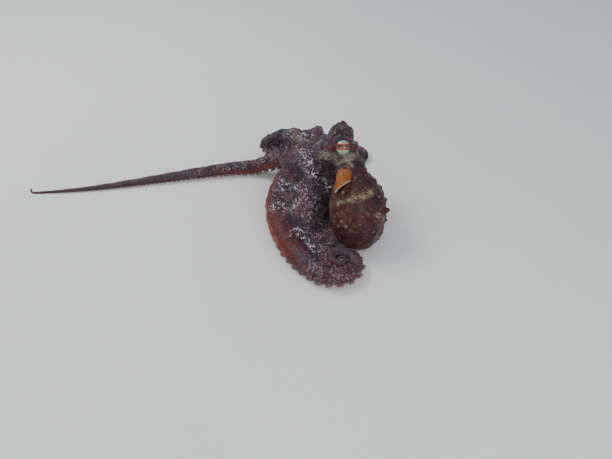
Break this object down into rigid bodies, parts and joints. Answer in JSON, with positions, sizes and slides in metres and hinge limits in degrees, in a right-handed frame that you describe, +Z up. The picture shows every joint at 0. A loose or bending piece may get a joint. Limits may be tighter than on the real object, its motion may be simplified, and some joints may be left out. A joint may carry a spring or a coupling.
{
  "type": "gloomy octopus, still model",
  "caption": "Life-size still octopus resting on the floor: egg-shaped mantle leaning from the neck, raised eyes, webbed sucker-bearing arms, one stretched out and the rest curled.",
  "frame": {"origin": "middle of the footprint, on the floor that the animal rests on", "axes": "+X from the tip of the stretched arm towards the head, +Y towards the animal's right side, +Z up"},
  "size_m": [0.446, 0.2858, 0.1023],
  "materials": {
    "mantle_skin": "wet mottled red-brown skin with pale dots and cream bands",
    "head_skin": "wet dark purple-brown skin with pale specks and a cream patch",
    "arm_skin": "wet dark purple-brown skin, orange-red along the sucker side, pale suckers",
    "web_skin": "wet dark red-brown skin with a pale net pattern",
    "funnel_skin": "smooth wet orange skin",
    "eye": "clear glossy cornea over a white and orange iris with a dark slit pupil"
  },
  "bodies": {
    "root": {"arm_crown": "arm_skin", "arm_left_1_inner": "arm_skin", "arm_left_1_middle": "arm_skin", "arm_left_1_tip": "arm_skin", "arm_left_2_inner": "arm_skin", "arm_left_2_tip": "arm_skin", "arm_left_3_inner": "arm_skin", "arm_left_3_tip": "arm_skin", "arm_left_4_inner": "arm_skin", "arm_left_4_tip": "arm_skin", "arm_right_1_inner": "arm_skin", "arm_right_1_middle": "arm_skin", "arm_right_1_tip": "arm_skin", "arm_right_2_inner": "arm_skin", "arm_right_2_tip": "arm_skin", "arm_right_3_inner": "arm_skin", "arm_right_3_tip": "arm_skin", "arm_right_4_inner": "arm_skin", "arm_right_4_tip": "arm_skin", "eye_left": "eye", "eye_right": "eye", "funnel": "funnel_skin", "head": "head_skin", "mantle": "mantle_skin", "web_front": "web_skin", "web_left_1_2": "web_skin", "web_left_2_3": "web_skin", "web_left_3_4": "web_skin", "web_rear": "web_skin", "web_right_2_1": "web_skin", "web_right_3_2": "web_skin", "web_right_4_3": "web_skin"}
  },
  "joints": []
}
